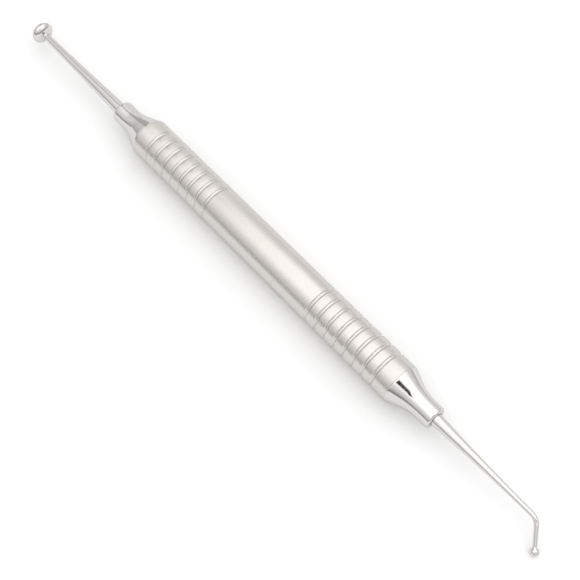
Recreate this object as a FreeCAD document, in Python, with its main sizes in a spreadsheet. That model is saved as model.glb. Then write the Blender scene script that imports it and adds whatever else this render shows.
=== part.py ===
"""Double-ended dental burnisher with a hollow handle, in millimetres.

The handle lies along X with the origin at the middle of the barrel, on its axis. +X points to
the bent small-ball end, -X to the straight large-headed end, and +Z is up. The instrument lies
on a table: the barrel's lands touch it along a line, and the small ball touches it beside them.
"""
import FreeCAD, Part
import math
import os
import Sketcher

os.makedirs("parts", exist_ok=True)
doc = FreeCAD.newDocument("dental_burnisher")
sheet = doc.addObject("Spreadsheet::Sheet", "sizes")

# Driving sizes, in millimetres and degrees
SIZES = {
    # barrel, a tube with eight turned grip grooves near each end
    "handle_diameter": 10.0,
    "barrel_length": 86.4,
    "tube_wall": 1.0,
    "groove_count": 8,
    "groove_first": 17.9,
    "groove_pitch": 3.0,
    "groove_depth": 0.28,
    "groove_nose_radius": 0.55,
    "seam_bevel": 0.06,
    # end ferrules, turned plugs with a cone, a collar and a socket
    "spigot_length": 8.0,
    "spigot_clearance": 0.01,
    "spigot_lead": 0.4,
    "shoulder_land": 0.25,
    "cone_angle": 22.5,
    "cone_blend_radius": 11.0,
    "collar_diameter": 5.6,
    "collar_length": 3.2,
    "collar_end_radius": 0.6,
    "socket_diameter": 3.1,
    "socket_depth": 12.0,
    "socket_bevel": 0.12,
    # both inserts
    "shank_clearance": 0.01,
    "tail_lead": 0.3,
    # straight insert with the large flattened head
    "straight_shank_length": 31.35,
    "straight_neck_diameter": 1.5,
    "large_head_diameter": 5.6,
    "large_head_thickness": 3.2,
    "large_neck_fillet": 0.5,
    # bent insert with the small ball
    "bent_shank_length": 28.9,
    "waist_distance": 12.5,
    "waist_diameter": 1.85,
    "bend_diameter": 1.2,
    "bend_angle": 54.5,
    "bend_radius": 3.0,
    "leg_length": 7.0,
    "ball_neck_diameter": 0.85,
    "ball_diameter": 2.0,
    "ball_neck_fillet": 0.6,
}
for row, (alias, size) in enumerate(SIZES.items(), start=1):
    sheet.set(f"A{row}", alias)
    sheet.set(f"B{row}", str(size))
    sheet.setAlias(f"B{row}", alias)
doc.recompute()

# Lengths that follow from the driving sizes, as expressions on the sheet
HANDLE_R = "(sizes.handle_diameter / 2)"
BORE_R = f"({HANDLE_R} - sizes.tube_wall)"
SPIGOT_R = f"({BORE_R} - sizes.spigot_clearance)"
COLLAR_R = "(sizes.collar_diameter / 2)"
SOCKET_R = "(sizes.socket_diameter / 2)"
TAIL_R = f"({SOCKET_R} - sizes.shank_clearance)"
BLEND_RUN = "(sizes.cone_blend_radius * sin(sizes.cone_angle))"
BLEND_DROP = "(sizes.cone_blend_radius * (1 - cos(sizes.cone_angle)))"
CONE_RUN = f"(({HANDLE_R} - {COLLAR_R} - {BLEND_DROP}) / tan(sizes.cone_angle))"
CONE_END = f"(sizes.shoulder_land + {CONE_RUN})"
COLLAR_START = f"({CONE_END} + {BLEND_RUN})"
FACE = f"({COLLAR_START} + sizes.collar_length)"
COLLAR_FACE = f"(sizes.barrel_length / 2 + {FACE})"
BEND_TANGENT = "(sizes.bend_radius * tan(sizes.bend_angle / 2))"
BEND_START = f"(sizes.bent_shank_length - {BEND_TANGENT})"
LEG_X = "cos(sizes.bend_angle)"
LEG_Z = "sin(sizes.bend_angle)"


def value(expression):
    """The number that an expression on the sheet gives now."""
    return float(sheet.evalExpression(str(expression)))


def new_body(name):
    body = doc.addObject("PartDesign::Body", name)
    body.Label = name
    return body


def origin_feature(body, role):
    for feature in body.Origin.OriginFeatures:
        if feature.Role == role:
            return feature
    raise ValueError(role)


def new_sketch(body, name, role):
    """An empty sketch on one of the body's own origin planes."""
    sketch = body.newObject("Sketcher::SketchObject", name)
    sketch.AttachmentSupport = [(origin_feature(body, role), "")]
    sketch.MapMode = "FlatFace"
    return sketch


def bind(sketch, kind, geometry, expression):
    """Adds a dimension to a sketch and ties it to the sheet."""
    index = sketch.addConstraint(Sketcher.Constraint(kind, *geometry, value(expression)))
    sketch.setExpression(f"Constraints[{index}]", expression)


def arc_middle(start, end, radius, bulge):
    """The middle of the short arc from start to end; it swells left of that way for bulge +1."""
    chord = end - start
    half = chord.Length / 2
    left = FreeCAD.Vector(-chord.y, chord.x, 0).normalize()
    rise = radius - math.sqrt(radius * radius - half * half)
    return (start + end) * 0.5 + left * (bulge * rise)


def closed_profile(sketch, corners):
    """Draws a closed outline through corners, each (x, y) or (x, y, radius, bulge).

    A radius belongs to the edge that leaves its corner and makes that edge an arc.
    """
    points = [FreeCAD.Vector(value(c[0]), value(c[1]), 0) for c in corners]
    reversed_edge = []
    for index, corner in enumerate(corners):
        start = points[index]
        end = points[(index + 1) % len(points)]
        if len(corner) == 2:
            sketch.addGeometry(Part.LineSegment(start, end), False)
            reversed_edge.append(False)
            continue
        middle = arc_middle(start, end, value(corner[2]), corner[3])
        sketch.addGeometry(Part.Arc(start, middle, end), False)
        # a sketch keeps its arcs anticlockwise, so an arc that swells to the left is turned round
        reversed_edge.append(corner[3] > 0)

    def start_of(index):
        return 2 if reversed_edge[index] else 1

    def end_of(index):
        return 1 if reversed_edge[index] else 2

    for index, corner in enumerate(corners):
        following = (index + 1) % len(corners)
        sketch.addConstraint(
            Sketcher.Constraint("Coincident", index, end_of(index), following, start_of(following)))
        for axis, kind, coordinate in ((-2, "DistanceX", corner[0]), (-1, "DistanceY", corner[1])):
            if coordinate == "0":
                sketch.addConstraint(
                    Sketcher.Constraint("PointOnObject", index, start_of(index), axis))
            else:
                bind(sketch, kind, (index, start_of(index)), coordinate)
        if len(corner) > 2:
            bind(sketch, "Radius", (index,), corner[2])


def revolve(body, name, sketch, kind="PartDesign::Revolution"):
    """Turns a sketch a full turn about its own horizontal axis, which is the body's X."""
    feature = body.newObject(kind, name)
    feature.Profile = sketch
    feature.ReferenceAxis = (sketch, ["H_Axis"])
    feature.Angle = 360.0
    sketch.Visibility = False
    doc.recompute()
    return feature


def make_barrel():
    """Satin tube with square ends and two groups of round-bottomed grip grooves."""
    body = new_body("handle_barrel")
    half = "sizes.barrel_length / 2"
    wall = new_sketch(body, "tube_wall_section", "XY_Plane")
    closed_profile(wall, [
        (f"-({half})", BORE_R),
        (half, BORE_R),
        (half, f"{HANDLE_R} - sizes.seam_bevel"),
        (f"{half} - sizes.seam_bevel", HANDLE_R),
        (f"-({half}) + sizes.seam_bevel", HANDLE_R),
        (f"-({half})", f"{HANDLE_R} - sizes.seam_bevel"),
    ])
    revolve(body, "tube", wall)
    for end, sign in (("bent", ""), ("straight", "-")):
        before = body.Shape.Volume
        nose = new_sketch(body, f"groove_nose_{end}", "XY_Plane")
        centre_x = f"{sign}(sizes.groove_first)"
        centre_y = f"{HANDLE_R} - sizes.groove_depth + sizes.groove_nose_radius"
        centre = FreeCAD.Vector(value(centre_x), value(centre_y), 0)
        up = FreeCAD.Vector(0, 0, 1)
        nose.addGeometry(Part.Circle(centre, up, value("sizes.groove_nose_radius")), False)
        bind(nose, "DistanceX", (0, 3), centre_x)
        bind(nose, "DistanceY", (0, 3), centre_y)
        bind(nose, "Radius", (0,), "sizes.groove_nose_radius")
        groove = revolve(body, f"groove_{end}", nose, "PartDesign::Groove")
        row = body.newObject("PartDesign::LinearPattern", f"groove_row_{end}")
        row.Originals = [groove]
        row.Direction = (origin_feature(body, "X_Axis"), [""])
        row.Reversed = sign == "-"
        row.setExpression("Occurrences", "sizes.groove_count")
        row.setExpression("Length", "sizes.groove_pitch * (sizes.groove_count - 1)")
        body.Tip = row
        doc.recompute()
        cut = before - body.Shape.Volume
        # a ring as wide and deep as half of each groove is less than what the row removes
        ring = value("pi * (sizes.handle_diameter - 2 * sizes.groove_depth) * sizes.groove_depth ^ 2 / 2")
        if cut < ring * value("sizes.groove_count"):
            raise RuntimeError("the grip grooves were not cut")
    return body


def make_ferrule(name, side):
    """Polished end plug: spigot, flush shoulder, cone blended into a collar, socket for the shank.

    Its own X runs outward from the shoulder that butts against the end of the tube. The shoulder
    has a short land as wide as the tube, so the joint lies flush and the land rests on the table
    with the tube.
    """
    body = new_body(name)
    section = new_sketch(body, f"{name}_section", "XY_Plane")
    closed_profile(section, [
        ("-sizes.spigot_length", "0"),
        (f"{FACE} - sizes.socket_depth", "0"),
        (f"{FACE} - sizes.socket_depth", SOCKET_R),
        (f"{FACE} - sizes.socket_bevel", SOCKET_R),
        (FACE, f"{SOCKET_R} + sizes.socket_bevel"),
        (FACE, f"{COLLAR_R} - sizes.collar_end_radius", "sizes.collar_end_radius", -1),
        (f"{FACE} - sizes.collar_end_radius", COLLAR_R),
        (COLLAR_START, COLLAR_R, "sizes.cone_blend_radius", 1),
        (CONE_END, f"{COLLAR_R} + {BLEND_DROP}"),
        ("sizes.shoulder_land", HANDLE_R),
        ("sizes.seam_bevel", HANDLE_R),
        ("0", f"{HANDLE_R} - sizes.seam_bevel"),
        ("0", SPIGOT_R),
        ("-sizes.spigot_length + sizes.spigot_lead", SPIGOT_R),
        ("-sizes.spigot_length", f"{SPIGOT_R} - sizes.spigot_lead"),
    ])
    revolve(body, f"{name}_turned", section)
    body.setExpression("Placement.Base.x", f"{side} * sizes.barrel_length / 2")
    if side < 0:
        body.Placement.Rotation = FreeCAD.Rotation(FreeCAD.Vector(0, 0, 1), 180)
    return body


def tail_corners():
    """The outer end of a shank's tail, which fills the socket and seats on its floor."""
    return [
        ("0", TAIL_R),
        ("-sizes.socket_depth + sizes.tail_lead", TAIL_R),
        ("-sizes.socket_depth", f"{TAIL_R} - sizes.tail_lead"),
        ("-sizes.socket_depth", "0"),
    ]


def circle_section(body, name, radius, x, z="0", turn=0.0):
    """A circle centred at x, z in the plane of the bend, its plane turned from upright."""
    sketch = new_sketch(body, name, "YZ_Plane")
    middle = FreeCAD.Vector(0, 0, 0)
    tilt = FreeCAD.Rotation(FreeCAD.Vector(1, 0, 0), turn)
    sketch.AttachmentOffset = FreeCAD.Placement(middle, tilt)
    sketch.setExpression("AttachmentOffset.Base.z", x)
    sketch.setExpression("AttachmentOffset.Base.y", z)
    sketch.addGeometry(Part.Circle(middle, FreeCAD.Vector(0, 0, 1), value(radius)), False)
    sketch.addConstraint(Sketcher.Constraint("Coincident", 0, 3, -1, 1))
    bind(sketch, "Radius", (0,), radius)
    return sketch


def fillet_nearest(body, name, point, radius):
    """Rounds the longest edge of those whose middles lie nearest a point on the axis."""
    base = body.Tip
    edges = base.Shape.Edges
    distances = [edge.BoundBox.Center.distanceToPoint(point) for edge in edges]
    lengths = [edge.Length for edge in edges]
    order = sorted(range(len(edges)), key=lambda i: (round(distances[i], 3), -lengths[i]))
    fillet = body.newObject("PartDesign::Fillet", name)
    fillet.Base = (base, [f"Edge{order[0] + 1}"])
    fillet.setExpression("Radius", radius)
    body.Tip = fillet
    doc.recompute()
    return fillet


def make_straight_insert():
    """Straight tapered shank that ends in a large polished head, flattened along the shank."""
    body = new_body("large_head_insert")
    section = new_sketch(body, "straight_shank_section", "XY_Plane")
    neck_r = "(sizes.straight_neck_diameter / 2)"
    centre = "(sizes.straight_shank_length + sizes.large_head_thickness / 2)"
    # the shank runs on to the middle of the head, so that the two are one piece
    closed_profile(section, [(centre, "0"), (centre, neck_r)] + tail_corners())
    revolve(body, "straight_shank", section)
    head = body.newObject("PartDesign::AdditiveEllipsoid", "flattened_head")
    head.setExpression("Radius1", "sizes.large_head_diameter / 2")
    head.setExpression("Radius2", "sizes.large_head_thickness / 2")
    head.setExpression("Radius3", "sizes.large_head_diameter / 2")
    head.setExpression("Placement.Base.x", centre)
    body.Tip = head
    doc.recompute()
    back = FreeCAD.Vector(value("sizes.straight_shank_length"), 0, 0)
    fillet_nearest(body, "large_neck", back, "sizes.large_neck_fillet")
    body.setExpression("Placement.Base.x", f"-{COLLAR_FACE}")
    body.Placement.Rotation = FreeCAD.Rotation(FreeCAD.Vector(0, 0, 1), 180)
    return body


def make_bent_insert():
    """Tapered shank bent near its tip, with a short slimmer leg that carries the small ball."""
    body = new_body("small_ball_insert")
    bend_r = "(sizes.bend_diameter / 2)"
    section = new_sketch(body, "bent_tail_section", "XY_Plane")
    closed_profile(section, [("0", "0")] + tail_corners())
    revolve(body, "bent_tail", section)

    # the shank thins quickly to its waist, then slowly to the bend
    root = circle_section(body, "root_thickness", TAIL_R, "0")
    waist = circle_section(
        body, "waist_thickness", "(sizes.waist_diameter / 2)", "sizes.waist_distance")
    thick = circle_section(body, "bend_thickness", bend_r, BEND_START)
    taper = body.newObject("PartDesign::AdditiveLoft", "hollow_taper")
    taper.Profile = root
    taper.Sections = [waist, thick]
    body.Tip = taper
    doc.recompute()

    # the bend and the leg, drawn in the XZ plane with the leg going down
    spine = new_sketch(body, "bend_centre_line", "XZ_Plane")
    start = value(BEND_START)
    radius = value("sizes.bend_radius")
    turn = math.radians(value("sizes.bend_angle"))
    bend_end = FreeCAD.Vector(start + radius * math.sin(turn), -radius * (1 - math.cos(turn)), 0)
    half_way = FreeCAD.Vector(
        start + radius * math.sin(turn / 2), -radius * (1 - math.cos(turn / 2)), 0)
    corner_x = "sizes.bent_shank_length"
    ball_x = f"({corner_x} + sizes.leg_length * {LEG_X})"
    ball_z = f"(-sizes.leg_length * {LEG_Z})"
    ball = FreeCAD.Vector(value(ball_x), value(ball_z), 0)
    spine.addGeometry(Part.Arc(FreeCAD.Vector(start, 0, 0), half_way, bend_end), False)
    spine.addGeometry(Part.LineSegment(bend_end, ball), False)
    spine.addConstraint(Sketcher.Constraint("Tangent", 0, 1, 1, 1))
    spine.addConstraint(Sketcher.Constraint("PointOnObject", 0, 2, -1))
    spine.addConstraint(Sketcher.Constraint("Vertical", 0, 2, 0, 3))
    bind(spine, "DistanceX", (0, 2), BEND_START)
    bind(spine, "Radius", (0,), "sizes.bend_radius")
    bind(spine, "DistanceX", (1, 2), ball_x)
    bind(spine, "DistanceY", (1, 2), ball_z)

    thin = circle_section(body, "neck_thickness", "(sizes.ball_neck_diameter / 2)",
                          ball_x, ball_z, value("sizes.bend_angle"))
    leg = body.newObject("PartDesign::AdditivePipe", "bend_and_leg")
    leg.Profile = thick
    leg.Spine = spine
    leg.Sections = [thin]
    leg.Transformation = "Multisection"
    body.Tip = leg
    doc.recompute()

    tip = body.newObject("PartDesign::AdditiveSphere", "small_ball")
    tip.setExpression("Radius", "sizes.ball_diameter / 2")
    tip.setExpression("Placement.Base.x", ball_x)
    tip.setExpression("Placement.Base.z", ball_z)
    body.Tip = tip
    doc.recompute()
    reach = value("sqrt((sizes.ball_diameter / 2) ^ 2 - (sizes.ball_neck_diameter / 2) ^ 2)")
    neck = FreeCAD.Vector(
        value(ball_x) - reach * math.cos(turn), 0, value(ball_z) + reach * math.sin(turn))
    fillet_nearest(body, "small_neck", neck, "sizes.ball_neck_fillet")

    # rolled about the handle's axis until the small ball touches the table beside the barrel
    drop = value(f"{HANDLE_R} - sizes.ball_diameter / 2")
    reach_down = value(f"sizes.leg_length * {LEG_Z}")
    roll = math.degrees(math.acos(min(1.0, drop / reach_down)))
    body.Placement.Rotation = FreeCAD.Rotation(FreeCAD.Vector(1, 0, 0), -roll)
    body.setExpression("Placement.Base.x", COLLAR_FACE)
    return body


subparts = [
    make_barrel(),
    make_ferrule("bent_end_ferrule", 1),
    make_ferrule("straight_end_ferrule", -1),
    make_straight_insert(),
    make_bent_insert(),
]
doc.recompute()

for item in doc.Objects:
    if "Invalid" in item.State or "Error" in item.State:
        raise RuntimeError(f"{item.Name} failed: {item.State}")
for item in doc.Objects:
    if item.isDerivedFrom("Sketcher::SketchObject") and not item.FullyConstrained:
        raise RuntimeError(f"{item.Name} is not fully constrained")
for subpart in subparts:
    shape = subpart.Shape
    if shape.isNull() or not shape.isValid() or len(shape.Solids) != 1:
        raise RuntimeError(f"{subpart.Label} is not one valid solid")
for subpart in subparts:
    subpart.Shape.exportStep(f"parts/{subpart.Label}.step")
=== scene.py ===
"""Dental burnisher on a white table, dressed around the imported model.

The instrument's own lengths are in millimetres until a surface becomes a mesh, which is in metres.
The table and the lights are in metres. The handle lies along X with the barrel's middle at the
origin; +X is the bent end with the small ball.
"""
import math

import bpy
import numpy as np
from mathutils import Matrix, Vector


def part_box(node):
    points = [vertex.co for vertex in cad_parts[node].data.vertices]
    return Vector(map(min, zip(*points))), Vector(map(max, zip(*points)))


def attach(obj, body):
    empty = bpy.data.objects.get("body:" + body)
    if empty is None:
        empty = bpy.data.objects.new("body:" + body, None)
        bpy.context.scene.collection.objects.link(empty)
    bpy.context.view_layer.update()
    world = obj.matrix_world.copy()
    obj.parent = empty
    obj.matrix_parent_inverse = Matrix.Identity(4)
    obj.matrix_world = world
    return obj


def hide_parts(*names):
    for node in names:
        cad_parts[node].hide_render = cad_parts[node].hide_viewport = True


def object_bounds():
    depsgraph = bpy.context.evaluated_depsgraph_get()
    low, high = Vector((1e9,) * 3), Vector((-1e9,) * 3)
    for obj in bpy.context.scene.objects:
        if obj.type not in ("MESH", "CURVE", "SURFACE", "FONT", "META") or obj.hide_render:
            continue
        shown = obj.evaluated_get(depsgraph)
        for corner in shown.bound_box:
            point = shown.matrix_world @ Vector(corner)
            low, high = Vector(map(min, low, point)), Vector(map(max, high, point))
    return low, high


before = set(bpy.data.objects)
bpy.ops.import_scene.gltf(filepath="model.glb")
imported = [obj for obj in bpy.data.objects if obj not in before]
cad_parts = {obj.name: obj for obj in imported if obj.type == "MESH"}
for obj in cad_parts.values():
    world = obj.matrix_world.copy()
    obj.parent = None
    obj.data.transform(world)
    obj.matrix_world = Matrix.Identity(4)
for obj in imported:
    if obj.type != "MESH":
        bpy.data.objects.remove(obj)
cad_low, cad_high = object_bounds()

MM = 0.001

# Sizes that the frame gives
barrel_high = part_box("handle_barrel")[1] / MM
HANDLE_RADIUS = barrel_high.y
HALF_BARREL = barrel_high.x
COLLAR_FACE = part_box("bent_end_ferrule")[1].x / MM
TABLE_Z = cad_low.z

# Barrel
TUBE_WALL = 1.0
GROOVE_COUNT = 8
GROOVE_FIRST = 17.9
GROOVE_PITCH = 3.0
GROOVE_DEPTH = 0.28
GROOVE_NOSE_RADIUS = 0.55
GROOVE_LIP_RADIUS = 0.04
SEAM_BEVEL = 0.06

# End plugs
SPIGOT_LENGTH = 8.0
FIT_CLEARANCE = 0.01
SPIGOT_LEAD = 0.4
SHOULDER_LAND = 0.25
CONE_ANGLE = math.radians(22.5)
CONE_BLEND_RADIUS = 11.0
COLLAR_RADIUS = 2.8
COLLAR_END_RADIUS = 0.6
SOCKET_RADIUS = 1.55
SOCKET_DEPTH = 12.0
SOCKET_BEVEL = 0.12
TAIL_LEAD = 0.3

# Straight insert
STRAIGHT_SHANK_LENGTH = 31.35
STRAIGHT_NECK_RADIUS = 0.75
LARGE_HEAD_RADIUS = 2.8
LARGE_HEAD_HALF_THICKNESS = 1.6
LARGE_NECK_FILLET = 0.5

# Bent insert
BENT_SHANK_LENGTH = 28.9
WAIST_DISTANCE = 12.5
WAIST_RADIUS = 0.925
BEND_THICKNESS_RADIUS = 0.6
BEND_ANGLE = math.radians(54.5)
BEND_RADIUS = 3.0
LEG_LENGTH = 7.0
BALL_NECK_RADIUS = 0.425
BALL_RADIUS = 1.0
BALL_NECK_FILLET = 0.6

# Where the bend and the ball lie along the bent centre line, and the roll that lands the ball
BEND_TANGENT = BEND_RADIUS * math.tan(BEND_ANGLE / 2)
BEND_START = BENT_SHANK_LENGTH - BEND_TANGENT
BEND_ARC = BEND_RADIUS * BEND_ANGLE
BALL_STATION = BEND_START + BEND_ARC + LEG_LENGTH - BEND_TANGENT
BEND_ROLL = -math.acos((HANDLE_RADIUS - BALL_RADIUS) / (LEG_LENGTH * math.sin(BEND_ANGLE)))

# Points round each piece and along each stretch of its profile
AROUND_BARREL = 192
AROUND_ENDS = 144
LIP_POINTS = 5
NOSE_POINTS = 15
CONE_POINTS = 12
BLEND_POINTS = 24
COLLAR_POINTS = 8
COLLAR_END_POINTS = 14
STRAIGHT_SHANK_POINTS = 40
TAPER_POINTS = 60
LEG_POINTS = 60
NECK_POINTS = 16
HEAD_POINTS = 72

# The fillet of a head is sought from this angle on its ellipse, at so many points
SEARCH_START = 0.05
SEARCH_POINTS = 4000

# Points nearer than this are one, and edges sharper than this stay crisp
SAME_POINT = 1e-6
CRISP_ANGLE = math.radians(28)

# Steel, and how much darker than a plain mirror it is where it is seen edge on
SATIN_COLOR = (0.675, 0.645, 0.616, 1)
SATIN_ROUGHNESS = (0.25, 0.28)
SATIN_ANISOTROPY = 0.5
POLISHED_COLOR = (0.70, 0.681, 0.667, 1)
POLISHED_ROUGHNESS = (0.09, 0.13)
SEAM_COLOR = (0.09, 0.07, 0.06, 1)
EDGE_TINT = (0.8, 0.8, 0.8, 1)

# Brushed lines are thin along X and long round the handle; the buff's patches aren't stretched
BRUSH_STRETCH = (9000, 90, 90)
BUFF_SCALE = 400.0
NOISE_DETAIL = 3.0
# The noise seldom leaves this reach, which is spread over the two values of the roughness
NOISE_REACH = (0.3, 0.7)

# Camera, at the angle and distance fitted to the photograph
CAMERA_AIM = Vector((10.54, -2.41, 0.0)) * MM
CAMERA_DISTANCE = 261.3 * MM
CAMERA_ELEVATION = math.radians(61.74)
CAMERA_AZIMUTH = math.radians(-41.67)
CAMERA_LENS = 72.3
CAMERA_SENSOR = 36.0
CAMERA_CLIP = 0.01
PICTURE_SIDE = 580
# The fitted centre lies half a pixel right of and below the picture's middle
CAMERA_SHIFT = 0.5 / PICTURE_SIDE

# Table; the glow is what camera and mirror rays see on top of its colour
TABLE_HALF_SIDE = 8.0
TABLE_COLOR = 0.82
TABLE_GLOW = 0.11

# Colours of the light; the warm one belongs to the straight end's side of the softbox
WHITE = (1, 1, 1, 1)
WARM_WHITE = (1.0, 0.988, 0.970, 1)

# Sky: its strength at the horizon on each side, and from the rise upwards
SKY_NEAR_SIDE = 0.24
SKY_FAR_SIDE = 0.58
SKY_STRAIGHT_END = 1.60
SKY_BENT_END = 0.82
SKY_HIGH = 0.88
SKY_RISE = 0.50

# Softbox; its warm tint fades over this reach, in shares of its own half length
TINT_REACH = (-0.65, -0.25)
SOFTBOX_LEVEL = 1.50
SOFTBOX_MIDDLE = (0.17, 0.05, 0.5)
SOFTBOX_HALF_LENGTH = 0.79
SOFTBOX_HALF_WIDTH = 0.76
SOFTBOX_FADE = 0.68

# Black flag; each fade is the share of the half length and half width that it takes
FLAG_LEVEL = 0.05
FLAG_MIDDLE = (0.3745, -0.170, 0.499)
FLAG_HALF_LENGTH = 0.158
FLAG_HALF_WIDTH = 0.088
FLAG_TURN = math.radians(54)
FLAG_FADE = 0.12

# Dark post and pale card, both upright
UPRIGHT = math.radians(90)
POST_LEVEL = 0.54
POST_MIDDLE = (-0.33, 0.10, 0.23)
POST_HALF_HEIGHT = 0.27
POST_HALF_WIDTH = 0.06
POST_FADE = 0.30
CARD_LEVEL = 0.92
CARD_MIDDLE = (-0.36, 0.33, 0.20)
CARD_HALF_HEIGHT = 0.18
CARD_HALF_WIDTH = 0.30
CARD_FADE = 0.25


def run(start, end, count=2):
    """Points spaced evenly on the straight line from start to end, each (station, radius)."""
    return np.linspace(start, end, count)


def arc(centre, radius, first, last, count):
    """Points of a circle: centre + radius * (cos a, sin a), a going evenly from first to last."""
    angle = np.linspace(first, last, count)
    x = centre[0] + radius * np.cos(angle)
    y = centre[1] + radius * np.sin(angle)
    return np.stack([x, y], axis=1)


def chained(*stretches):
    """Joins stretches of a profile end to end and drops a point that repeats the one before it."""
    points = np.concatenate([np.atleast_2d(s) for s in stretches])
    step = np.linalg.norm(np.diff(points, axis=0), axis=1)
    return points[np.concatenate([[True], step > SAME_POINT])]


def straight_line(direction):
    """A centre line along X: the point at station s is (direction * s, 0, 0)."""

    def frame_at(station):
        count = len(station)
        middle = np.zeros((count, 3))
        middle[:, 0] = direction * station
        side = np.tile([0.0, float(direction), 0.0], (count, 1))
        up = np.tile([0.0, 0.0, 1.0], (count, 1))
        return middle, side, up

    return frame_at


def bent_line(station):
    """Centre line of the bent insert: straight, then an arc downwards, then straight again.

    It is drawn in the XZ plane and rolled about X until the ball touches the table.
    """
    turn = np.clip((station - BEND_START) / BEND_RADIUS, 0.0, BEND_ANGLE)
    beyond = np.clip(station - BEND_START - BEND_ARC, 0.0, None)
    before = np.minimum(station, BEND_START)
    x = before + BEND_RADIUS * np.sin(turn) + beyond * math.cos(BEND_ANGLE)
    z = -BEND_RADIUS * (1 - np.cos(turn)) - beyond * math.sin(BEND_ANGLE)
    flat = np.stack([x, 0 * x, z], axis=1)
    side = np.tile([0.0, 1.0, 0.0], (len(station), 1))
    up = np.stack([np.sin(turn), 0 * x, np.cos(turn)], axis=1)
    c, s = math.cos(BEND_ROLL), math.sin(BEND_ROLL)
    roll = np.array([[1, 0, 0], [0, c, -s], [0, s, c]])
    middle = flat @ roll.T + np.array([COLLAR_FACE, 0, 0])
    return middle, side @ roll.T, up @ roll.T


def carried(name, profile, frame_at, around, closed=False):
    """Carries circles along a centre line.

    The surface is point(s, a) = middle(s) + r(s) * (side(s) cos a + up(s) sin a). A closed profile
    wraps into a ring-shaped solid with a bore. Otherwise both ends of the profile lie on the
    centre line, and each closes in one pole.
    """
    middle, side, up = frame_at(profile[:, 0])
    angle = np.arange(around) * 2 * math.pi / around
    circle = (np.cos(angle)[None, :, None] * side[:, None, :]
              + np.sin(angle)[None, :, None] * up[:, None, :])
    grid = middle[:, None, :] + profile[:, 1][:, None, None] * circle
    rows = len(profile)
    index = np.arange(rows * around).reshape(rows, around)
    if not closed:
        index[0] = index[0, 0]
        index[-1] = index[-1, 0]
    used, index = np.unique(index, return_inverse=True)
    index = index.reshape(rows, around)
    turned = np.roll(index, -1, axis=1)
    if closed:
        lower, lower_turned = index, turned
        upper, upper_turned = np.roll(index, -1, axis=0), np.roll(turned, -1, axis=0)
    else:
        lower, lower_turned = index[:-1], turned[:-1]
        upper, upper_turned = index[1:], turned[1:]
    quads = np.stack([lower, lower_turned, upper_turned, upper], axis=-1)
    if closed:
        faces = quads.reshape(-1, 4).tolist()
    else:
        first_pole = quads[0][:, [0, 2, 3]].tolist()
        wall = quads[1:-1].reshape(-1, 4).tolist()
        last_pole = quads[-1][:, [0, 1, 2]].tolist()
        faces = first_pole + wall + last_pole
    mesh = bpy.data.meshes.new(name)
    mesh.from_pydata((grid.reshape(-1, 3)[used] * MM).tolist(), [], faces)
    mesh.validate()
    mesh.shade_smooth()
    mesh.set_sharp_from_angle(angle=CRISP_ANGLE)
    piece = bpy.data.objects.new(name, mesh)
    bpy.context.scene.collection.objects.link(piece)
    return piece


def groove(centre):
    """One grip groove: a round nose between two small round lips, from left to right.

    Each lip touches the barrel's line, and the nose where the line between their middles cuts it.
    """
    nose = np.array([centre, HANDLE_RADIUS - GROOVE_DEPTH + GROOVE_NOSE_RADIUS])
    reach = GROOVE_NOSE_RADIUS + GROOVE_LIP_RADIUS
    lip_height = HANDLE_RADIUS - GROOVE_LIP_RADIUS
    spread = math.sqrt(reach ** 2 - (nose[1] - lip_height) ** 2)
    lean = math.atan2(spread, nose[1] - lip_height)
    left_lip = (centre - spread, lip_height)
    right_lip = (centre + spread, lip_height)
    up = math.pi / 2
    return chained(
        arc(left_lip, GROOVE_LIP_RADIUS, up, up - lean, LIP_POINTS),
        arc(nose, GROOVE_NOSE_RADIUS, -up - lean, -up + lean, NOSE_POINTS),
        arc(right_lip, GROOVE_LIP_RADIUS, up + lean, up, LIP_POINTS),
    )


def barrel_profile():
    """Closed section of the tube: outer wall with its grooves, bevelled ends and the bore."""
    first = GROOVE_FIRST + np.arange(GROOVE_COUNT) * GROOVE_PITCH
    centres = np.concatenate([-first[::-1], first])
    bore = HANDLE_RADIUS - TUBE_WALL
    return chained(
        run((-HALF_BARREL, bore), (-HALF_BARREL, HANDLE_RADIUS - SEAM_BEVEL)),
        (-HALF_BARREL + SEAM_BEVEL, HANDLE_RADIUS),
        *[groove(centre) for centre in centres],
        (HALF_BARREL - SEAM_BEVEL, HANDLE_RADIUS),
        run((HALF_BARREL, HANDLE_RADIUS - SEAM_BEVEL), (HALF_BARREL, bore)),
    )


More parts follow.
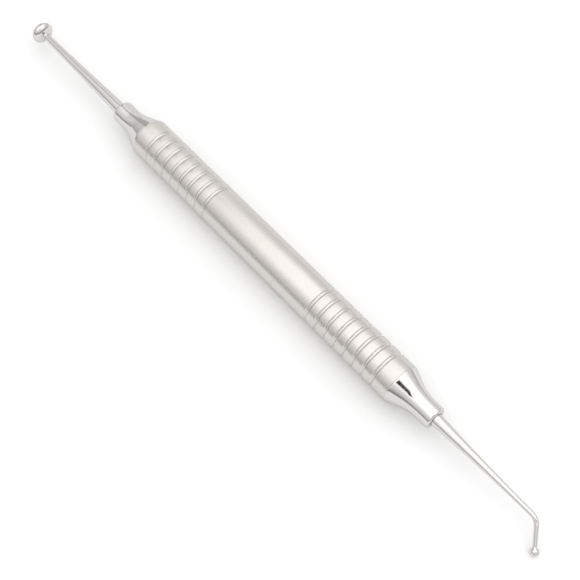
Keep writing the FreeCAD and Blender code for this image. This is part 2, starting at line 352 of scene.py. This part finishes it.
def plug_profile():
    """Section of an end plug, from the middle of its spigot's end to the middle of its socket.

    The cone leaves the shoulder's land at the cone angle and touches the blend's circle, which
    touches the collar.
    """
    spigot = HANDLE_RADIUS - TUBE_WALL - FIT_CLEARANCE
    spigot_end = HALF_BARREL - SPIGOT_LENGTH
    blend_run = CONE_BLEND_RADIUS * math.sin(CONE_ANGLE)
    blend_drop = CONE_BLEND_RADIUS * (1 - math.cos(CONE_ANGLE))
    slope = math.tan(CONE_ANGLE)
    land_end = HALF_BARREL + SHOULDER_LAND
    cone_end = land_end + (HANDLE_RADIUS - COLLAR_RADIUS - blend_drop) / slope
    collar_start = cone_end + blend_run
    blend_middle = (collar_start, COLLAR_RADIUS + CONE_BLEND_RADIUS)
    collar_end = COLLAR_FACE - COLLAR_END_RADIUS
    collar_end_middle = (collar_end, COLLAR_RADIUS - COLLAR_END_RADIUS)
    socket_floor = COLLAR_FACE - SOCKET_DEPTH
    up = math.pi / 2
    return chained(
        (spigot_end, 0),
        (spigot_end, spigot - SPIGOT_LEAD),
        (spigot_end + SPIGOT_LEAD, spigot),
        (HALF_BARREL, spigot),
        (HALF_BARREL, HANDLE_RADIUS - SEAM_BEVEL),
        (HALF_BARREL + SEAM_BEVEL, HANDLE_RADIUS),
        run((land_end, HANDLE_RADIUS), (cone_end, COLLAR_RADIUS + blend_drop), CONE_POINTS),
        arc(blend_middle, CONE_BLEND_RADIUS, -up - CONE_ANGLE, -up, BLEND_POINTS),
        run((collar_start, COLLAR_RADIUS), (collar_end, COLLAR_RADIUS), COLLAR_POINTS),
        arc(collar_end_middle, COLLAR_END_RADIUS, up, 0, COLLAR_END_POINTS),
        (COLLAR_FACE, SOCKET_RADIUS + SOCKET_BEVEL),
        (COLLAR_FACE - SOCKET_BEVEL, SOCKET_RADIUS),
        (socket_floor, SOCKET_RADIUS),
        (socket_floor, 0),
    )


def tail():
    """The hidden tail of a shank, from the middle of its end to the collar's face at station 0."""
    radius = SOCKET_RADIUS - FIT_CLEARANCE
    return chained(
        (-SOCKET_DEPTH, 0),
        (-SOCKET_DEPTH, radius - TAIL_LEAD),
        (-SOCKET_DEPTH + TAIL_LEAD, radius),
        (0, radius),
    )


def ellipse(centre, half_length, half_width, b):
    """Points of a head: x = centre - half_length cos b, r = half_width sin b."""
    return np.stack([centre - half_length * np.cos(b), half_width * np.sin(b)], axis=1)


def head_with_neck(shank, centre, half_length, half_width, fillet):
    """The end of a shank, a hollow fillet and an elliptical head, up to the pole.

    shank is (station, radius) at two points of the cone. The fillet's circle touches the cone and
    the ellipse: its middle is where the cone moved out by the fillet meets the ellipse moved out
    by the fillet.
    """
    (x0, r0), (x1, r1) = shank
    slope = (r1 - r0) / (x1 - x0)
    lean = math.atan(slope)
    b = np.linspace(SEARCH_START, math.pi / 2, SEARCH_POINTS)
    point = ellipse(centre, half_length, half_width, b)
    normal = np.stack([-np.cos(b) / half_length, np.sin(b) / half_width], axis=1)
    normal /= np.linalg.norm(normal, axis=1)[:, None]
    moved = point + fillet * normal
    height = moved[:, 1] - (r0 + (moved[:, 0] - x0) * slope) - fillet / math.cos(lean)
    b_touch = np.interp(0.0, height, b)
    middle = np.array([np.interp(b_touch, b, moved[:, 0]), np.interp(b_touch, b, moved[:, 1])])
    touch = np.array([np.interp(b_touch, b, point[:, 0]), np.interp(b_touch, b, point[:, 1])])
    toward = touch - middle
    to_cone = -math.pi / 2 + lean
    to_head = math.atan2(toward[1], toward[0])
    head = ellipse(centre, half_length, half_width, np.linspace(b_touch, math.pi, HEAD_POINTS))
    head[-1, 1] = 0.0
    return chained(arc(middle, fillet, to_cone, to_head, NECK_POINTS), head)


def straight_insert_profile():
    """Tail, plain cone, neck fillet and the flattened head, as distances from the collar's face."""
    centre = STRAIGHT_SHANK_LENGTH + LARGE_HEAD_HALF_THICKNESS
    root = (0.0, SOCKET_RADIUS - FIT_CLEARANCE)
    neck = (centre, STRAIGHT_NECK_RADIUS)
    end = head_with_neck((root, neck), centre, LARGE_HEAD_HALF_THICKNESS, LARGE_HEAD_RADIUS,
                         LARGE_NECK_FILLET)
    return chained(tail(), run(root, end[0], STRAIGHT_SHANK_POINTS), end)


def bent_insert_profile():
    """Tail, hollow taper, bend, leg and ball, as distances along the bent centre line.

    The taper's radius is the parabola through the root, the waist and the bend. From the bend on
    it falls evenly to the ball.
    """
    root = SOCKET_RADIUS - FIT_CLEARANCE
    stations = np.array([0.0, WAIST_DISTANCE, BEND_START])
    parabola = np.polyfit(stations, [root, WAIST_RADIUS, BEND_THICKNESS_RADIUS], 2)
    along = np.linspace(0, BEND_START, TAPER_POINTS)
    taper = np.stack([along, np.polyval(parabola, along)], axis=1)
    bend = (BEND_START, BEND_THICKNESS_RADIUS)
    ball = (BALL_STATION, BALL_NECK_RADIUS)
    end = head_with_neck((bend, ball), BALL_STATION, BALL_RADIUS, BALL_RADIUS, BALL_NECK_FILLET)
    return chained(tail(), taper, run(bend, end[0], LEG_POINTS), end)


def new_material(name):
    """A new material, with its nodes, its links and its shader."""
    material = bpy.data.materials.new(name)
    material.use_nodes = True
    nodes = material.node_tree.nodes
    return material, nodes, material.node_tree.links, nodes["Principled BSDF"]


def set_or_link(links, socket, source):
    """Gives a socket a number, or the output of another node."""
    if isinstance(source, (int, float)):
        socket.default_value = source
    else:
        links.new(source, socket)


def math_node(nodes, links, operation, first, second):
    """Joins two outputs, or an output and a number, with one sum."""
    node = nodes.new("ShaderNodeMath")
    node.operation = operation
    for socket, source in zip(node.inputs, (first, second)):
        set_or_link(links, socket, source)
    return node.outputs[0]


def ramp(nodes, links, source, reach, levels, smooth=True):
    """Goes between two levels, numbers or outputs, as the source crosses the reach."""
    node = nodes.new("ShaderNodeMapRange")
    if smooth:
        node.interpolation_type = "SMOOTHSTEP"
    for socket, wanted in zip(("From Min", "From Max", "To Min", "To Max"), reach + levels):
        set_or_link(links, node.inputs[socket], wanted)
    links.new(source, node.inputs["Value"])
    return node.outputs["Result"]


def noise(nodes, links, scale, stretch=(1, 1, 1)):
    """Noise on object coordinates, its space stretched by a factor along each axis."""
    place = nodes.new("ShaderNodeTexCoord")
    mapping = nodes.new("ShaderNodeMapping")
    mapping.inputs["Scale"].default_value = stretch
    texture = nodes.new("ShaderNodeTexNoise")
    texture.inputs["Scale"].default_value = scale
    texture.inputs["Detail"].default_value = NOISE_DETAIL
    links.new(place.outputs["Object"], mapping.inputs["Vector"])
    links.new(mapping.outputs["Vector"], texture.inputs["Vector"])
    return texture.outputs["Fac"]


def steel(name, color, pattern_scale, pattern_stretch, roughness):
    """Bare steel whose roughness follows a noise pattern between two values."""
    material, nodes, links, shader = new_material(name)
    shader.inputs["Metallic"].default_value = 1.0
    shader.inputs["Base Color"].default_value = color
    shader.inputs["Specular Tint"].default_value = EDGE_TINT
    pattern = noise(nodes, links, pattern_scale, pattern_stretch)
    rough = ramp(nodes, links, pattern, NOISE_REACH, roughness, smooth=False)
    links.new(rough, shader.inputs["Roughness"])
    return material, nodes, links, shader


def satin_steel():
    """Brushed round the handle: fine lines across X, and a blur that runs along the handle."""
    material, nodes, links, shader = steel(
        "satin_steel", SATIN_COLOR, 1.0, BRUSH_STRETCH, SATIN_ROUGHNESS)
    shader.inputs["Anisotropic"].default_value = SATIN_ANISOTROPY
    tangent = nodes.new("ShaderNodeTangent")
    tangent.direction_type = "RADIAL"
    tangent.axis = "X"
    links.new(tangent.outputs["Tangent"], shader.inputs["Tangent"])
    return material


def polished_steel(name, seam=False):
    """Mirror polish with faint uneven patches left by the buff.

    With a seam, the steel is dark as far from the axis as the socket's bevel reaches, which is a
    thin dark ring round the shank where it enters the collar.
    """
    material, nodes, links, shader = steel(
        name, POLISHED_COLOR, BUFF_SCALE, (1, 1, 1), POLISHED_ROUGHNESS)
    if seam:
        place = nodes.new("ShaderNodeTexCoord")
        across = nodes.new("ShaderNodeVectorMath")
        across.operation = "MULTIPLY"
        across.inputs[1].default_value = (0, 1, 1)
        links.new(place.outputs["Object"], across.inputs[0])
        from_axis = nodes.new("ShaderNodeVectorMath")
        from_axis.operation = "LENGTH"
        links.new(across.outputs[0], from_axis.inputs[0])
        rim = (SOCKET_RADIUS + SOCKET_BEVEL) * MM
        inside = math_node(nodes, links, "LESS_THAN", from_axis.outputs["Value"], rim)
        color = nodes.new("ShaderNodeMix")
        color.data_type = "RGBA"
        color.inputs["A"].default_value = POLISHED_COLOR
        color.inputs["B"].default_value = SEAM_COLOR
        links.new(inside, color.inputs["Factor"])
        links.new(color.outputs["Result"], shader.inputs["Base Color"])
    return material


def make_pieces():
    """The five pieces of the instrument, each standing for the CAD node of its name."""
    satin = satin_steel()
    polished = polished_steel("polished_steel")
    plug_steel = polished_steel("polished_plug_steel", seam=True)
    plug = plug_profile()
    straight = straight_insert_profile()
    straight[:, 0] += COLLAR_FACE
    bent = bent_insert_profile()
    forward = straight_line(1)
    backward = straight_line(-1)
    barrel = carried("barrel", barrel_profile(), forward, AROUND_BARREL, closed=True)
    bent_plug = carried("bent_end_plug", plug, forward, AROUND_ENDS)
    straight_plug = carried("straight_end_plug", plug, backward, AROUND_ENDS)
    large_head = carried("large_head_tip", straight, backward, AROUND_ENDS)
    small_ball = carried("small_ball_tip", bent, bent_line, AROUND_ENDS)
    for piece, node, material, slot in (
        (barrel, "handle_barrel", satin, "satin_steel"),
        (bent_plug, "bent_end_ferrule", plug_steel, "polished_steel"),
        (straight_plug, "straight_end_ferrule", plug_steel, "polished_steel"),
        (large_head, "large_head_insert", polished, "polished_steel"),
        (small_ball, "small_ball_insert", polished, "polished_steel"),
    ):
        piece.data.materials.append(material)
        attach(piece, "root")
        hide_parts(node)


def make_camera():
    """The camera, looking at its aim from its distance, elevation and azimuth."""
    camera = bpy.data.objects.new("camera", bpy.data.cameras.new("camera"))
    camera.data.lens = CAMERA_LENS
    camera.data.sensor_width = CAMERA_SENSOR
    camera.data.clip_start = CAMERA_CLIP
    camera.data.shift_x = -CAMERA_SHIFT
    camera.data.shift_y = CAMERA_SHIFT
    level = math.cos(CAMERA_ELEVATION)
    toward = Vector((level * math.cos(CAMERA_AZIMUTH), level * math.sin(CAMERA_AZIMUTH),
                     math.sin(CAMERA_ELEVATION)))
    camera.location = CAMERA_AIM + CAMERA_DISTANCE * toward
    camera.rotation_euler = (-toward).to_track_quat("-Z", "Y").to_euler()
    bpy.context.scene.collection.objects.link(camera)
    bpy.context.scene.camera = camera


def flat_panel(name, corners, material):
    """A flat sheet through four corners that belongs to the stage."""
    mesh = bpy.data.meshes.new(name)
    mesh.from_pydata(corners, [], [(0, 1, 2, 3)])
    panel = bpy.data.objects.new(name, mesh)
    panel.data.materials.append(material)
    bpy.context.scene.collection.objects.link(panel)
    return panel


def table_white():
    """White card: it takes the shadow, and camera and mirror rays see it a little brighter."""
    material, nodes, links, shader = new_material("table_white")
    nodes.remove(shader)
    card = nodes.new("ShaderNodeBsdfDiffuse")
    card.inputs["Color"].default_value = (TABLE_COLOR, TABLE_COLOR, TABLE_COLOR, 1)
    path = nodes.new("ShaderNodeLightPath").outputs
    seen = math_node(nodes, links, "MAXIMUM", path["Is Camera Ray"], path["Is Glossy Ray"])
    seen = math_node(nodes, links, "MAXIMUM", seen, path["Is Transmission Ray"])
    amount = math_node(nodes, links, "MULTIPLY", seen, TABLE_GLOW)
    glow = nodes.new("ShaderNodeEmission")
    links.new(amount, glow.inputs["Strength"])
    total = nodes.new("ShaderNodeAddShader")
    links.new(card.outputs[0], total.inputs[0])
    links.new(glow.outputs[0], total.inputs[1])
    links.new(total.outputs[0], nodes["Material Output"].inputs["Surface"])
    return material


def make_table():
    """A wide white table under the instrument."""
    s = TABLE_HALF_SIDE
    corners = [(-s, -s, TABLE_Z), (s, -s, TABLE_Z), (s, s, TABLE_Z), (-s, s, TABLE_Z)]
    flat_panel("table", corners, table_white())


def make_sky():
    """A pale sky, darker near the horizon.

    It is darkest there on the near side of the instrument and past its bent end.
    """
    world = bpy.data.worlds.new("studio")
    bpy.context.scene.world = world
    world.use_nodes = True
    nodes = world.node_tree.nodes
    links = world.node_tree.links
    place = nodes.new("ShaderNodeTexCoord")
    split = nodes.new("ShaderNodeSeparateXYZ")
    links.new(place.outputs["Generated"], split.inputs[0])
    way = split.outputs
    across = ramp(nodes, links, way["Y"], (-1, 1), (SKY_NEAR_SIDE, SKY_FAR_SIDE))
    along = ramp(nodes, links, way["X"], (-1, 1), (SKY_STRAIGHT_END, SKY_BENT_END))
    horizon = math_node(nodes, links, "MULTIPLY", across, along)
    level = ramp(nodes, links, way["Z"], (0, SKY_RISE), (horizon, SKY_HIGH))
    links.new(level, nodes["Background"].inputs["Strength"])
    nodes["Background"].inputs["Color"].default_value = WHITE


def faded_light(name, level, fade, straight_end_tint=WHITE):
    """Even light that fades to nothing over this share of a panel's half length and half width.

    Towards the straight end of the instrument the light takes on a tint.
    """
    material, nodes, links, shader = new_material(name)
    nodes.remove(shader)
    place = nodes.new("ShaderNodeTexCoord")
    split = nodes.new("ShaderNodeSeparateXYZ")
    links.new(place.outputs["Object"], split.inputs[0])
    fades = []
    for axis in ("X", "Y"):
        distance = math_node(nodes, links, "ABSOLUTE", split.outputs[axis], 0.0)
        fades.append(ramp(nodes, links, distance, (1 - fade, 1), (1.0, 0.0)))
    amount = math_node(nodes, links, "MULTIPLY", fades[0], fades[1])
    clear = nodes.new("ShaderNodeBsdfTransparent")
    light = nodes.new("ShaderNodeEmission")
    light.inputs["Strength"].default_value = level
    tint = nodes.new("ShaderNodeMix")
    tint.data_type = "RGBA"
    tint.inputs["A"].default_value = straight_end_tint
    tint.inputs["B"].default_value = WHITE
    whiter = ramp(nodes, links, split.outputs["X"], TINT_REACH, (0.0, 1.0))
    links.new(whiter, tint.inputs["Factor"])
    links.new(tint.outputs["Result"], light.inputs["Color"])
    mixed = nodes.new("ShaderNodeMixShader")
    links.new(amount, mixed.inputs[0])
    links.new(clear.outputs[0], mixed.inputs[1])
    links.new(light.outputs[0], mixed.inputs[2])
    links.new(mixed.outputs[0], nodes["Material Output"].inputs["Surface"])
    return material


def faded_panel(name, middle, half_length, half_width, material, turn=0.0, tilt=0.0):
    """A panel round its middle that the camera doesn't see.

    Its length is tipped down from X by tilt, then turned about the upright.
    """
    corners = [(-1, -1, 0), (-1, 1, 0), (1, 1, 0), (1, -1, 0)]
    panel = flat_panel(name, corners, material)
    panel.location = middle
    panel.rotation_euler = (0, tilt, turn)
    panel.scale = (half_length, half_width, 1)
    panel.visible_camera = False
    return panel


def only_mirrored(panel):
    """The panel shows in polished steel and leaves the light on the table alone."""
    panel.visible_diffuse = False
    panel.visible_shadow = False


def make_softbox():
    """A wide softbox straight above the instrument, brightest in its middle."""
    light = faded_light("softbox_light", SOFTBOX_LEVEL, SOFTBOX_FADE, WARM_WHITE)
    faded_panel("softbox", SOFTBOX_MIDDLE, SOFTBOX_HALF_LENGTH, SOFTBOX_HALF_WIDTH, light)


def make_flag():
    """A small black flag under the softbox, a dark bar in the cone at the bent end."""
    dark = faded_light("flag_dark", FLAG_LEVEL, FLAG_FADE)
    flag = faded_panel("black_flag", FLAG_MIDDLE, FLAG_HALF_LENGTH, FLAG_HALF_WIDTH, dark,
                       turn=FLAG_TURN)
    only_mirrored(flag)


def make_card():
    """A pale card past the straight end with a dark post before it, which that end mirrors."""
    pale = faded_light("card_pale", CARD_LEVEL, CARD_FADE)
    dark = faded_light("post_dark", POST_LEVEL, POST_FADE)
    card = faded_panel("pale_card", CARD_MIDDLE, CARD_HALF_HEIGHT, CARD_HALF_WIDTH, pale,
                       tilt=UPRIGHT)
    post = faded_panel("dark_post", POST_MIDDLE, POST_HALF_HEIGHT, POST_HALF_WIDTH, dark,
                       tilt=UPRIGHT)
    only_mirrored(card)
    only_mirrored(post)


make_camera()
make_pieces()
make_table()
make_sky()
make_softbox()
make_flag()
make_card()
bpy.context.scene.view_settings.view_transform = "Standard"
